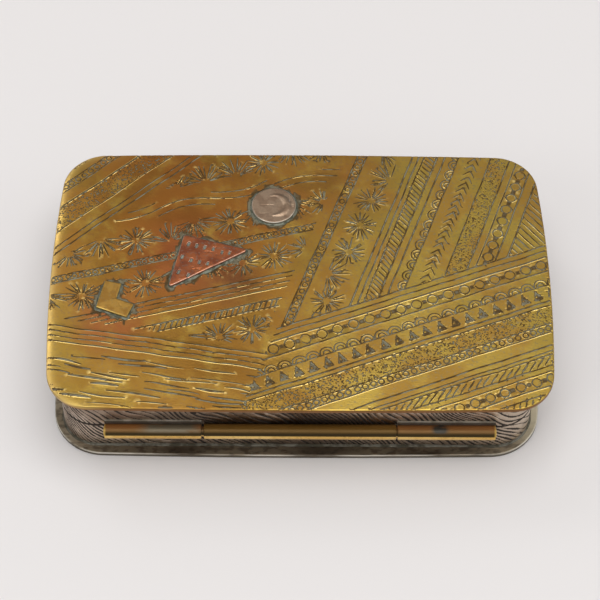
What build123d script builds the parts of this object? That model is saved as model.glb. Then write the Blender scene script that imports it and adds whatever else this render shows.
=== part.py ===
from build123d import *
import os

os.makedirs("parts", exist_ok=True)

# A small hinged metal box for stamps, closed and standing on its base plate.
# X runs along the hinge, -Y is the hinge side and Z points up.
# The origin is on the table under the middle of the box. All sizes are in millimetres.

# Lid plate, the widest piece
lid_length = 80.0
lid_depth = 50.7
lid_plate_thickness = 0.8
lid_corner_radius = 6.9

# Both plates swell a little between their corners
end_bow = 1.3
side_bow = 0.5
plate_edge_radius = 0.25
plate_edge_chamfer = 0.15

# Base plate, which stands out round the walls as a rim
base_inset = 0.5
base_plate_thickness = 0.8
base_corner_radius = 8.3
side_rim = 2.0
end_rim = 1.4

# The base and the walls were soldered a little to the left of the lid plate
base_shift = -0.5

# Walls, bent from strip
wall_thickness = 0.9
wall_corner_radius = 5.9
body_wall_height = 5.7
lid_band_height = 7.6
seam_gap = 0.1

# Locating lip inside the body wall, which guides the closing lid
lip_thickness = 0.5
lip_rise = 1.0
lip_clearance = 0.15

# Hinge of three tube knuckles on one pin
tube_radius = 1.2
tube_end_chamfer = 0.08
pin_radius = 0.8
pin_play = 0.04
pin_grip = 0.01
pin_end_rise = 0.15
pin_end_chamfer = 0.12
tube_clearance = 0.1
hinge_rise = 0.4
hinge_end_margin = 0.4
centre_knuckle_length = 30.0
left_knuckle_gap = 0.4
right_knuckle_gap = 0.2

# Seat strips between the knuckles and the walls
seat_reach = 0.6
lid_seat_height = 1.3
body_seat_depth = 1.3
body_seat_drop = 0.55

# Overlays soldered on the lid plate, placed by shares of its length and depth
overlay_thickness = 0.5
overlay_edge_radius = 0.12
disc_radius = 3.65
disc_place_shares = (-0.055, 0.279)
triangle_base = 10.8
triangle_reach = 11.0
triangle_apex_share = 0.93
triangle_corner_radius = 0.35
triangle_place_shares = (-0.264, -0.051)
triangle_turn = -11.8
angle_arm = 5.3
angle_width = 2.7
angle_opening = 99.0
angle_place_shares = (-0.404, -0.127)
angle_turn = -21.5

# Heights and depths that follow from the sizes above
split_height = base_plate_thickness + body_wall_height
band_bottom = split_height + seam_gap
lid_plate_bottom = band_bottom + lid_band_height
lid_top = lid_plate_bottom + lid_plate_thickness
base_length = lid_length - 2 * base_inset
base_depth = lid_depth - 2 * base_inset
wall_length = base_length - 2 * end_rim
wall_depth = base_depth - 2 * side_rim
wall_face = -wall_depth / 2
band_thickness = wall_thickness - lip_clearance

# The hinge runs along the straight stretch of the wall.
# Its axis lies just outside the wall and just above the split.
hinge_length = wall_length - 2 * (end_bow + wall_corner_radius + hinge_end_margin)
hinge_y = wall_face - tube_clearance - tube_radius
hinge_z = split_height + hinge_rise
hinge_left = -hinge_length / 2
hinge_right = hinge_length / 2
centre_left = -centre_knuckle_length / 2
centre_right = centre_knuckle_length / 2


def side(start, end, bow):
    """One side of an outline: an arc that swells outward by bow, or a straight line."""
    return SagittaArc(start, end, -bow) if bow else Line(start, end)


def bowed_outline(length, depth, corner, bow):
    """A flat outline of the full length and depth, with swelled sides and round corners."""
    x = length / 2 - end_bow
    y = depth / 2 - bow
    sides = [
        side((x, -y), (x, y), end_bow),
        side((x, y), (-x, y), bow),
        side((-x, y), (-x, -y), end_bow),
        side((-x, -y), (x, -y), bow),
    ]
    face = make_face(Curve() + sides)
    return fillet(face.vertices(), corner)


def plate(length, depth, corner, thickness):
    """A sheet cut to the bowed outline, filed round at its upper edge and deburred below."""
    sheet = extrude(bowed_outline(length, depth, corner, side_bow), thickness)
    sheet = chamfer(sheet.faces().sort_by(Axis.Z)[0].edges(), plate_edge_chamfer)
    return fillet(sheet.faces().sort_by(Axis.Z)[-1].edges(), plate_edge_radius)


def base_plate():
    """The bottom sheet, which stands out round the walls."""
    sheet = plate(base_length, base_depth, base_corner_radius, base_plate_thickness)
    return Pos(base_shift, 0, 0) * sheet


def wall_outline():
    """The outer line of both walls: straight along the hinge, swelled at the ends."""
    return Pos(base_shift, 0) * bowed_outline(wall_length, wall_depth, wall_corner_radius, 0)


def strip_ring(outer_step, thickness, height):
    """A strip bent round the box, its outer face set in from the walls' line by outer_step."""
    line = wall_outline()
    outer = offset(line, -outer_step) if outer_step else line
    inner = offset(line, -outer_step - thickness)
    return extrude(outer - inner, height)


def body_wall():
    """The lower wall, standing on the base plate."""
    return Pos(0, 0, base_plate_thickness) * strip_ring(0, wall_thickness, body_wall_height)


def locating_lip():
    """A thin strip inside the body wall that rises past the split into the lid."""
    rise = body_wall_height + lip_rise
    return Pos(0, 0, base_plate_thickness) * strip_ring(wall_thickness, lip_thickness, rise)


def lid_band():
    """The upper wall, soldered under the lid plate and a little thinner than the lower wall."""
    return Pos(0, 0, band_bottom) * strip_ring(0, band_thickness, lid_band_height)


def lid_plate():
    """The top sheet, which overhangs the walls on every side."""
    sheet = plate(lid_length, lid_depth, lid_corner_radius, lid_plate_thickness)
    return Pos(0, 0, lid_plate_bottom) * sheet


def hinge_section(start):
    """The plane square to the hinge at one X, with its origin on the hinge axis."""
    return Plane(origin=(start, hinge_y, hinge_z), x_dir=(0, 1, 0), z_dir=(1, 0, 0))


def knuckle(start, end, bore):
    """A length of tube round the hinge axis, its outer ends broken by a small chamfer."""
    tube = extrude(hinge_section(start) * Circle(tube_radius), end - start)
    tube = chamfer(tube.edges(), tube_end_chamfer)
    return tube - extrude(hinge_section(start) * Circle(bore), end - start)


def hinge_pin():
    """The rod through all three knuckles, its filed ends a little proud of the outer two."""
    section = hinge_section(hinge_left - pin_end_rise) * Circle(pin_radius)
    rod = extrude(section, hinge_length + 2 * pin_end_rise)
    return chamfer(rod.edges().filter_by(GeomType.CIRCLE), pin_end_chamfer)


def knuckle_seat(start, end, low, high):
    """A strip on the wall's face from low to high, hollowed to carry a knuckle."""
    near = wall_face - hinge_y
    profile = Polyline((near - seat_reach, low), (near, low), (near, high),
                       (near - seat_reach, high), close=True)
    section = make_face(profile) - Circle(tube_radius)
    return extrude(hinge_section(start) * section, end - start)


def lid_knuckle_seat(start, end):
    """The seat strip of an outer knuckle, on the lid band."""
    return knuckle_seat(start, end, band_bottom - hinge_z, lid_seat_height)


def body_knuckle_seat():
    """The seat strip of the centre knuckle, on the body wall."""
    return knuckle_seat(centre_left, centre_right, -body_seat_depth, -body_seat_drop)


def lid_place(shares):
    """The place on top of the lid plate at shares of its length and depth."""
    return Pos(shares[0] * lid_length, shares[1] * lid_depth, lid_top)


def softened(shape):
    """An overlay cut from sheet, with its top edge rubbed round."""
    sheet = extrude(shape, overlay_thickness)
    top = sheet.faces().sort_by(Axis.Z)[-1]
    return fillet(top.edges(), overlay_edge_radius)


def disc_overlay():
    """The round overlay."""
    return lid_place(disc_place_shares) * softened(Circle(disc_radius))


def triangle_overlay():
    """The three-cornered overlay, with its base at the left."""
    apex = (triangle_reach, triangle_apex_share * triangle_base)
    outline = make_face(Polyline((0, 0), apex, (0, triangle_base), close=True))
    outline = fillet(outline.vertices(), triangle_corner_radius)
    return lid_place(triangle_place_shares) * Rot(0, 0, triangle_turn) * softened(outline)


def angle_overlay():
    """The overlay of two arms that meet in an open angle."""
    arm = Pos(angle_arm / 2, angle_width / 2) * Rectangle(angle_arm, angle_width)
    mirrored = Pos(angle_arm / 2, -angle_width / 2) * Rectangle(angle_arm, angle_width)
    outline = arm + Rot(0, 0, angle_opening) * mirrored
    return lid_place(angle_place_shares) * Rot(0, 0, angle_turn) * softened(outline)


# The outer knuckles and their seats are part of the lid, with the pin held fast in them.
# The centre knuckle is part of the body and turns freely on the pin.
left_span = (hinge_left, centre_left - left_knuckle_gap)
centre_span = (centre_left, centre_right)
right_span = (centre_right + right_knuckle_gap, hinge_right)

pieces = {
    "base_plate": base_plate(),
    "body_wall": body_wall(),
    "locating_lip": locating_lip(),
    "body_knuckle": knuckle(*centre_span, pin_radius + pin_play),
    "body_knuckle_seat": body_knuckle_seat(),
    "hinge_pin": hinge_pin(),
    "lid_plate": lid_plate(),
    "lid_band": lid_band(),
    "disc_overlay": disc_overlay(),
    "triangle_overlay": triangle_overlay(),
    "angle_overlay": angle_overlay(),
}
for name, span in {"left": left_span, "right": right_span}.items():
    pieces[f"lid_knuckle_{name}"] = knuckle(*span, pin_radius + pin_grip)
    pieces[f"lid_knuckle_seat_{name}"] = lid_knuckle_seat(*span)

for name, piece in pieces.items():
    export_step(piece, f"parts/{name}.step")
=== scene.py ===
"""Dresses the hinged metal stamp box: engraved brass lid, patinated walls, overlays and solder."""

import logging
import math
from dataclasses import dataclass
from enum import Enum
from typing import Callable, Iterator

import bpy
import numpy as np
from mathutils import Matrix, Vector
from mathutils.geometry import delaunay_2d_cdt
from mathutils.kdtree import KDTree


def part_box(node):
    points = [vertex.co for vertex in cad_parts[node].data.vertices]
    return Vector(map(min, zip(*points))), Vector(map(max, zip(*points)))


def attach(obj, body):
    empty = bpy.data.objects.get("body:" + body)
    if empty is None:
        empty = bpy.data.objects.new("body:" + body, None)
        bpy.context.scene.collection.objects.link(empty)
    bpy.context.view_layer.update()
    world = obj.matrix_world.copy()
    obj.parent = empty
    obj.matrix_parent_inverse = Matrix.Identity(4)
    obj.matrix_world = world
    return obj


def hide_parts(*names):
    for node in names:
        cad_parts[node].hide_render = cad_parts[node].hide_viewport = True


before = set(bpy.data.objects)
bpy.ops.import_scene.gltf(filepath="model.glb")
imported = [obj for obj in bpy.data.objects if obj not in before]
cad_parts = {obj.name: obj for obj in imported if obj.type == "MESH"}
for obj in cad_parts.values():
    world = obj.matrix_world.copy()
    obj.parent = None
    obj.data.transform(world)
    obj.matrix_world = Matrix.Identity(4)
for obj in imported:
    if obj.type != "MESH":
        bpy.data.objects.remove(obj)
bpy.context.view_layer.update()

LOG = logging.getLogger("stamp_box")
MM = 0.001
TURN = 2 * math.pi
Points = np.ndarray
Chance = np.random.Generator
Triple = tuple[float, float, float]
Tree = bpy.types.NodeTree
Socket = bpy.types.NodeSocket
Material = bpy.types.Material
Piece = bpy.types.Object


# Colour and shader nodes


def linear(hex_colour: str) -> tuple[float, float, float, float]:
    """Turns an sRGB hex colour into the linear values that shaders take.

    Args:
        hex_colour: A colour such as "#C9A23F".

    Returns:
        Red, green and blue as linear values, and an alpha of 1.
    """
    parts = [int(hex_colour[i:i + 2], 16) / 255 for i in (1, 3, 5)]
    toe, slope, lift, power = 0.04045, 12.92, 0.055, 2.4
    bent = [p / slope if p <= toe else ((p + lift) / (1 + lift)) ** power for p in parts]
    return (*bent, 1.0)


def add_node(tree: Tree, kind: str, settings: dict | None = None,
             inputs: dict | None = None) -> bpy.types.Node:
    """Adds a shader node with its settings and links.

    Args:
        tree: The node tree that gets the node.
        kind: Blender's type name of the node.
        settings: Attributes to set on the node, by name.
        inputs: A value, or an output socket to link, for each input name or index.

    Returns:
        The new node.
    """
    node = tree.nodes.new(kind)
    for key, value in (settings or {}).items():
        setattr(node, key, value)
    for key, value in (inputs or {}).items():
        if isinstance(value, Socket):
            tree.links.new(value, node.inputs[key])
        else:
            node.inputs[key].default_value = value
    return node


@dataclass(frozen=True)
class Cloud:
    """A soft mask from noise, with its grain given as a real size."""

    size_mm: float
    low: float = 0.4
    high: float = 0.6
    detail: float = 4.0
    stretch: Triple = (1.0, 1.0, 1.0)

    def socket(self, tree: Tree, place: Socket) -> Socket:
        """Builds the mask.

        Args:
            tree: The material's node tree.
            place: The place on the object, in metres.

        Returns:
            The socket that carries the mask, from 0 to 1.
        """
        scaled = add_node(tree, "ShaderNodeVectorMath", {"operation": "MULTIPLY"},
                          {0: place, 1: self.stretch})
        noise = add_node(tree, "ShaderNodeTexNoise", {}, {
            "Vector": scaled.outputs[0], "Scale": 1 / (self.size_mm * MM), "Detail": self.detail})
        return add_node(tree, "ShaderNodeMapRange", {"interpolation_type": "SMOOTHSTEP"}, {
            "Value": noise.outputs[0], "From Min": self.low, "From Max": self.high}).outputs[0]


@dataclass(frozen=True)
class Spot:
    """A round mask, full at its middle and gone at its reach."""

    centre_mm: Triple
    reach_mm: float
    strength: float = 1.0

    def socket(self, tree: Tree, place: Socket) -> Socket:
        """Builds the mask.

        Args:
            tree: The material's node tree.
            place: The place on the object, in metres.

        Returns:
            The socket that carries the mask, at most 1.
        """
        centre = tuple(c * MM for c in self.centre_mm)
        away = add_node(tree, "ShaderNodeVectorMath", {"operation": "DISTANCE"}, {0: place, 1: centre})
        share = add_node(tree, "ShaderNodeMapRange", {"interpolation_type": "SMOOTHSTEP"}, {
            "Value": away.outputs["Value"], "From Min": self.reach_mm * MM, "From Max": 0.0,
            "To Max": self.strength})
        return add_node(tree, "ShaderNodeMath", {"operation": "MINIMUM"}, {
            0: share.outputs[0], 1: 1.0}).outputs[0]


@dataclass(frozen=True)
class Slope:
    """A mask that grows one way over the object, in millimetres, or with the way that its surface faces."""

    way: Triple
    start: float
    full: float
    strength: float = 1.0
    facing: bool = False

    def socket(self, tree: Tree, place: Socket) -> Socket:
        """Builds the mask.

        Args:
            tree: The material's node tree.
            place: The place on the object, in metres.

        Returns:
            The socket that carries the mask, from 0 to the strength.
        """
        source, unit = place, MM
        if self.facing:
            source, unit = add_node(tree, "ShaderNodeTexCoord").outputs["Normal"], 1.0
        along = add_node(tree, "ShaderNodeVectorMath", {"operation": "DOT_PRODUCT"}, {0: source, 1: self.way})
        return add_node(tree, "ShaderNodeMapRange", {"interpolation_type": "SMOOTHSTEP"}, {
            "Value": along.outputs["Value"], "From Min": self.start * unit, "From Max": self.full * unit,
            "To Max": self.strength}).outputs[0]


@dataclass(frozen=True)
class Layer:
    """A colour that lies over the metal where all of its masks are strong."""

    colour: str
    masks: tuple[Cloud | Spot | Slope, ...]

    def socket(self, tree: Tree, place: Socket) -> Socket:
        """Multiplies the masks.

        Args:
            tree: The material's node tree.
            place: The place on the object, in metres.

        Returns:
            The socket that carries the layer's share.
        """
        share, *others = [mask.socket(tree, place) for mask in self.masks]
        for other in others:
            share = add_node(tree, "ShaderNodeMath", {"operation": "MULTIPLY"}, {
                0: share, 1: other}).outputs[0]
        return share


@dataclass(frozen=True)
class Metal:
    """A metal finish, with clouded colour, layers over it, wear, a patina in its cuts with painted shade on
    their sides, and a fine grain.

    The attributes cut and worn of a mesh say where the patina lies, and where the bright wear and the painted
    highlights lie.
    """

    name: str
    ground: str
    cloud_colour: str
    patina: str
    bright: str
    roughness: float = 0.34
    rough_swing: float = 0.12
    patina_roughness: float = 0.75
    metallic: float = 1.0
    patina_metallic: float = 0.25
    cloud: Cloud = Cloud(7.0)
    coverage: Cloud = Cloud(1.8, 0.35, 0.6)
    least_coverage: float = 0.45
    # Painted shade on the sloping sides of the cuts; the patina lies on their beds.
    shade: str = ""
    shade_range: tuple[float, float] = (0.05, 0.5)
    patina_range: tuple[float, float] = (0.6, 1.0)
    speck: Cloud = Cloud(0.5, 0.5, 0.72, 3.0)
    speck_share: float = 0.25
    grain: Cloud = Cloud(0.3, 0.2, 0.8, 2.0)
    grain_height_mm: float = 0.004
    layers: tuple[Layer, ...] = ()
    oxide: Slope | None = None
    oxide_share: float = 0.6

    def material(self) -> Material:
        """Builds the finish as a Blender material.

        Returns:
            The material, with its colour, roughness and grain from nodes.
        """
        made = bpy.data.materials.new(self.name)
        made.use_nodes = True
        tree = made.node_tree
        shader = tree.nodes["Principled BSDF"]
        place = add_node(tree, "ShaderNodeTexCoord").outputs["Object"]
        cut, worn = (add_node(tree, "ShaderNodeAttribute", {"attribute_name": name}).outputs["Fac"]
                     for name in ("cut", "worn"))
        kept = add_node(tree, "ShaderNodeMapRange", {}, {
            "Value": self.coverage.socket(tree, place), "To Min": self.least_coverage})
        cut = add_node(tree, "ShaderNodeMath", {"operation": "MULTIPLY"}, {
            0: cut, 1: kept.outputs[0]}).outputs[0]
        clouds = self.cloud.socket(tree, place)
        specks = add_node(tree, "ShaderNodeMath", {"operation": "MULTIPLY"}, {
            0: self.speck.socket(tree, place), 1: self.speck_share}).outputs[0]
        tones = [(clouds, self.cloud_colour), (specks, self.patina)]
        tones += [(layer.socket(tree, place), layer.colour) for layer in self.layers]
        tones.append((worn, self.bright))
        painted_side_shade, beds = self.shade or self.patina, self.patina
        for (low, high), tone in ((self.shade_range, painted_side_shade), (self.patina_range, beds)):
            share = add_node(tree, "ShaderNodeMapRange", {}, {
                "Value": cut, "From Min": low, "From Max": high})
            tones.append((share.outputs[0], tone))
        colour = linear(self.ground)
        for share, tone in tones:
            colour = add_node(tree, "ShaderNodeMix", {"data_type": "RGBA"}, {
                0: share, 6: colour, 7: linear(tone)}).outputs[2]
        dull = cut
        if self.oxide:
            dull = add_node(tree, "ShaderNodeMath", {"operation": "MULTIPLY_ADD"}, {
                0: self.oxide.socket(tree, place), 1: self.oxide_share, 2: cut}).outputs[0]
        clean = add_node(tree, "ShaderNodeMath", {"operation": "MULTIPLY_ADD"}, {
            0: clouds, 1: self.rough_swing, 2: self.roughness - self.rough_swing / 2})
        rough = add_node(tree, "ShaderNodeMix", {}, {0: dull, 2: clean.outputs[0], 3: self.patina_roughness})
        metallic = add_node(tree, "ShaderNodeMapRange", {}, {
            "Value": dull, "To Min": self.metallic, "To Max": self.patina_metallic})
        bump = add_node(tree, "ShaderNodeBump", {}, {
            "Height": self.grain.socket(tree, place), "Distance": self.grain_height_mm * MM})
        for socket, name in ((colour, "Base Color"), (rough.outputs[0], "Roughness"),
                             (metallic.outputs[0], "Metallic"), (bump.outputs[0], "Normal")):
            tree.links.new(socket, shader.inputs[name])
        return made


# Finishes

UP = (0.0, 0.0, 1.0)
INWARD = (0.0, 1.0, 0.0)
HINGE_Y_MM, HINGE_Z_MM = -24.15, 6.9
RAGGED = Cloud(4.0, 0.2, 0.56, 6.0)


def stains(broken: Cloud, *spots: tuple[str, Triple, float, float]) -> tuple[Layer, ...]:
    """Lays round stains, each given by its colour, centre, reach and strength, and broken by one cloud."""
    return tuple(Layer(colour, (Spot(*spot), broken)) for colour, *spot in spots)


def rim_highlight_and_side_shade(bright: str, side: str, broken: Cloud = Cloud(5.0, 0.3, 0.6)) -> tuple[Layer, ...]:
    """Brightens the filed upper edges of a sheet in places, partly as a painted highlight, and darkens its
    upright sides with painted shade.
    """
    return (Layer(bright, (Slope(UP, 0.98, 0.75, facing=True), broken)),
            # Painted shade: the upright sides are darkened as if in shadow.
            Layer(side, (Slope(UP, 0.45, 0.1, 0.95, True),)))


def heat_toned_tube_with_painted_bands(name: str, tones: tuple[str, str, str], *smears: tuple[str, float, float, float]) -> Metal:
    """Drawn brass tube, toned by the soldering heat on the half that faces the lid, with painted reflection,
    shade and highlights.

    The eye sees a polished yellow outer half with a bright lower stripe, a painted dark reflection band just
    above it, brown bands lightened as painted light against the lid's shadow, a painted highlight at each end
    and, on some, smears of grey solder.

    Args:
        name: The material's name.
        tones: The colours from the outer half inward: a painted dark reflection band, then heat-toned bands
            lightened as painted light against the lid's shadow.
        smears: The colour, place along the hinge, reach and strength of each smear.

    Returns:
        The finish.
    """
    axis = HINGE_Y_MM + HINGE_Z_MM
    # Bands round the tube: below the first stays the bright lower stripe; the first is a painted dark
    # reflection band; the others are heat tone, lightened as painted light against the lid's shadow.
    spans = ((-0.8, -0.64), (-0.25, 0.4), (0.6, 1.3))
    inner = [Slope((0.0, 1.0, 1.0), axis + low, axis + high) for low, high in spans]
    broken = Cloud(1.8, 0.3, 0.48, 3.0, (0.4, 1.0, 1.0))
    smear_y, smear_z = -24.3, 8.1
    bright, end_highlight_mm, end_highlight_fade = "#E4BC5C", 30.15, 0.4
    return Metal(name, "#EBC679", "#D8AE60", "#5A4420", bright, roughness=0.22, patina_roughness=0.6,
                 grain_height_mm=0.002, oxide=inner[0], layers=(
                     *(Layer(tone, (slope,)) for slope, tone in zip(inner, tones)),
                     *(Layer(colour, (Spot((x, smear_y, smear_z), *spot), broken, inner[1]))
                       for colour, x, *spot in smears),
                     # Painted highlight on the chamfers at the tube's outer ends.
                     *(Layer(bright, (Slope((way, 0.0, 0.0), end_highlight_mm, end_highlight_mm + end_highlight_fade, 0.8),))
                       for way in (-1.0, 1.0))))


# Yellow brass sheet, engraved, heated at the overlays and polished by hand. The eye sees warm gold with
# olive clouds, copper-red heat stains, grey-green dirt in the lines with painted shade on their sides, bright
# burrs that are partly a painted sheen, a painted highlight along the left edge and a brown sawn edge.
ENGRAVED_BRASS = Metal(
    "engraved_brass", "#BE9F4A", "#A47F3A", "#827E68", "#FFE08C", shade="#503C1A", least_coverage=0.6,
    speck_share=0.5, grain_height_mm=0.008, layers=(
        *stains(RAGGED,
                ("#946228", (-20.0, 6.0, 15.0), 44.0, 1.0), ("#967430", (-38.0, -24.0, 15.0), 16.0, 0.9),
                ("#A25C38", (-17.5, 3.5, 15.0), 14.0, 1.0), ("#96582F", (-4.5, 14.0, 15.0), 8.5, 1.0),
                ("#9C5A38", (-29.5, -9.0, 15.0), 9.0, 1.0), ("#8E5C2C", (6.0, 20.0, 15.0), 16.0, 0.7),
                ("#885426", (-20.0, 24.0, 15.0), 26.0, 0.8), ("#8A6028", (-14.0, -20.0, 15.0), 24.0, 0.9),
                ("#74482C", (-11.0, -1.0, 15.0), 7.5, 1.0)),
        Layer("#7C5230", (Slope(UP, 14.96, 14.8), Slope(UP, 14.22, 14.32)))))
# Nickel silver strip, engraved, then darkened with patina and rubbed back. The eye sees pinkish grey
# metal and near-black lines, a pale patch of painted light on the right corner, and painted shade: brown
# under the lid and a dark brown patch above the centre knuckle.
PATINATED_NICKEL_SILVER = Metal(
    "patinated_nickel_silver", "#C9B7A5", "#A69382", "#3E352E", "#DCD0C4", roughness=0.42,
    patina_roughness=0.8, layers=(
        # Painted light: the pale patch on the right corner. Painted shade: the dark brown patch above the
        # centre knuckle.
        *stains(RAGGED, ("#D8C8B4", (36.0, -16.0, 5.0), 15.0, 0.8),
                ("#4A3626", (-2.0, -22.8, 9.5), 17.0, 0.85)),
        # Painted shade: darker towards the top of the band, under the lid's overhang.
        Layer("#3A2A1C", (Slope(UP, 10.8, 14.2, 0.9),))))
# Nickel silver sheet, filed at its rim. The eye sees dull olive grey with dark streaks along the box, a thin
# bright edge that is partly a painted highlight, painted shade on its upright sides and a pale right corner
# that is painted light.
FILED_NICKEL_SILVER = Metal(
    "filed_nickel_silver", "#948874", "#766A56", "#40342A", "#C5C0B0", roughness=0.46, rough_swing=0.2,
    metallic=0.7, cloud=Cloud(6.0, 0.3, 0.7, stretch=(0.35, 1.0, 1.0)),
    speck=Cloud(0.8, 0.46, 0.62, stretch=(0.5, 1.0, 1.0)), speck_share=0.6, layers=(
        # Painted light: the pale patch at the right corner.
        *stains(Cloud(3.0, 0.2, 0.56, 6.0, (0.3, 1.0, 1.0)), ("#DCD2B6", (39.0, -12.0, 0.8), 17.0, 1.0),
                ("#3A2E24", (-20.0, -25.5, 0.8), 9.0, 0.85), ("#3A2E24", (3.0, -25.5, 0.8), 8.0, 0.75),
                ("#3C3226", (19.0, -26.0, 0.8), 8.0, 0.9)),
        *rim_highlight_and_side_shade("#D6D0C2", "#5E5648", Cloud(3.5, 0.35, 0.6, stretch=(0.3, 1.0, 1.0)))))
# Nickel silver strip beside a knuckle. The eye sees a pale line of bare metal beside the wall, its ground
# lightened as painted light, and brown painted shade where the tube meets it.
SEAT_PAINTED_LIGHT_AND_SHADE = Metal(
    "seat_painted_light_and_shade", "#D8D2C4", "#B0A898", "#6E6856", "#F2EFE6", roughness=0.5, metallic=0.5,
    # Painted shade: darker towards the tube.
    cloud=Cloud(1.5), layers=(Layer("#43362A", (Slope(INWARD, -23.02, -23.26, 0.85),)),))
# Soft solder along the walls. The eye sees a thin grey uneven line.
SOLDER = Metal("solder", "#7A766A", "#565246", "#4F4B3E", "#B5B2A6", roughness=0.5, cloud=Cloud(1.5))
# Solder and burnt flux that crept out under the overlays. The eye sees a dull green-grey rim.
DULL_SOLDER = Metal("dull_solder", "#7E8072", "#606254", "#5A584A", "#A5A490", roughness=0.65,
                    cloud=Cloud(0.9))
HINGE_BRASS = heat_toned_tube_with_painted_bands("hinge_brass", ("#3E300C", "#78562A", "#AA723E"),
                         ("#7C705A", -20.2, 6.0, 2.2), ("#46423A", 21.8, 1.8, 1.76))
CENTRE_HINGE_BRASS = heat_toned_tube_with_painted_bands("centre_hinge_brass", ("#3A2C0A", "#6A4E1E", "#8A6428"))
# Silver sheet, rubbed by hand. The eye sees pinkish grey, a bright rim that is partly a painted highlight,
# and painted shade on its side.
RUBBED_SILVER = Metal("rubbed_silver", "#9C856F", "#866F5B", "#5C5146", "#F0EBDD", roughness=0.42,
                      cloud=Cloud(1.6), layers=rim_highlight_and_side_shade("#F7F3E6", "#2E2A24"))
# Copper sheet, punched. The eye sees matt red-brown, pale dimples with painted shade round their rims, a
# broken bright edge that is partly a painted highlight, and painted shade on its side.
RUBBED_COPPER = Metal("rubbed_copper", "#A25F3C", "#7C4630", "#8E9284", "#F0A88A", roughness=0.36,
                      shade="#3A2A22", least_coverage=0.85, cloud=Cloud(2.0),
                      layers=rim_highlight_and_side_shade("#FFE0C8", "#2A1C14", Cloud(1.6, 0.25, 0.55)))
# Brass sheet, filed. The eye sees a plain yellow face, a bright rim that is partly a painted highlight, and
# painted shade on its side.
FILED_BRASS = Metal("filed_brass", "#AA8340", "#926C32", "#77745A", "#F0D078", roughness=0.4,
                    cloud=Cloud(1.5), layers=rim_highlight_and_side_shade("#EBCF74", "#2E2414"))


# Meshes from arrays


def mesh_object(name: str, points: Points, faces: list | np.ndarray, material: Material,
                **marks: Points) -> Piece:
    """Makes an object from points in millimetres.

    Args:
        name: The piece's name.
        points: One row of X, Y and Z for each vertex, in millimetres.
        faces: Lists of vertex numbers, or an array of quads.
        material: The finish of every face.
        marks: One value for each vertex, for each named attribute.

    Returns:
        The object, with smooth shading.
    """
    mesh = bpy.data.meshes.new(name)
    mesh.from_pydata((points * MM).tolist(), [], faces if isinstance(faces, list) else faces.tolist())
    mesh.validate()
    mesh.materials.append(material)
    mesh.shade_smooth()
    for key, values in marks.items():
        mesh.attributes.new(key, "FLOAT", "POINT").data.foreach_set("value", values)
    piece = bpy.data.objects.new(name, mesh)
    bpy.context.scene.collection.objects.link(piece)
    return piece


def strips(rows: list[Points]) -> Points:
    """Joins closed rows of vertices by quads.

    Args:
        rows: The vertex numbers of each row, in order.

    Returns:
        One row of four vertex numbers for each quad.
    """
    return np.vstack([np.stack([a, np.roll(a, -1), np.roll(b, -1), b], 1)
                      for a, b in zip(rows[:-1], rows[1:])])


def settled(piece: Piece) -> None:
    """Applies a piece's modifiers to its mesh."""
    graph = bpy.context.evaluated_depsgraph_get()
    mesh = bpy.data.meshes.new_from_object(piece.evaluated_get(graph), preserve_all_data_layers=True,
                                           depsgraph=graph)
    piece.modifiers.clear()
    piece.data = mesh


def thinned(piece: Piece, triangles: int) -> None:
    """Merges the flat parts of a fine mesh and keeps its cuts sharp.

    Args:
        piece: The object with the fine mesh.
        triangles: About how many triangles it keeps.
    """
    have = sum(len(face.vertices) - 2 for face in piece.data.polygons)
    if have > triangles:
        modifier = piece.modifiers.new("thin", "DECIMATE")
        modifier.ratio = triangles / have
        settled(piece)
    modifier = piece.modifiers.new("normals", "WEIGHTED_NORMAL")
    modifier.weight = 50
    settled(piece)


def smooth_noise(x: Points, y: Points, size: float, seed: int) -> Points:
    """Gives gentle waves without a repeat that shows.

    Args:
        x: First coordinates, in millimetres.
        y: Second coordinates.
        size: The typical length of a wave, in millimetres.
        seed: Chooses the waves.

    Returns:
        Heights from about -1 to 1.
    """
    chance = np.random.default_rng(seed)
    total, count = np.zeros_like(x), 7
    for _ in range(count):
        way, phase = chance.uniform(0, TURN, 2)
        length = size * chance.uniform(0.7, 1.6)
        total += np.sin((x * math.cos(way) + y * math.sin(way)) * TURN / length + phase)
    return total / math.sqrt(count * 2)


# Outlines read from the frame


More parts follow.
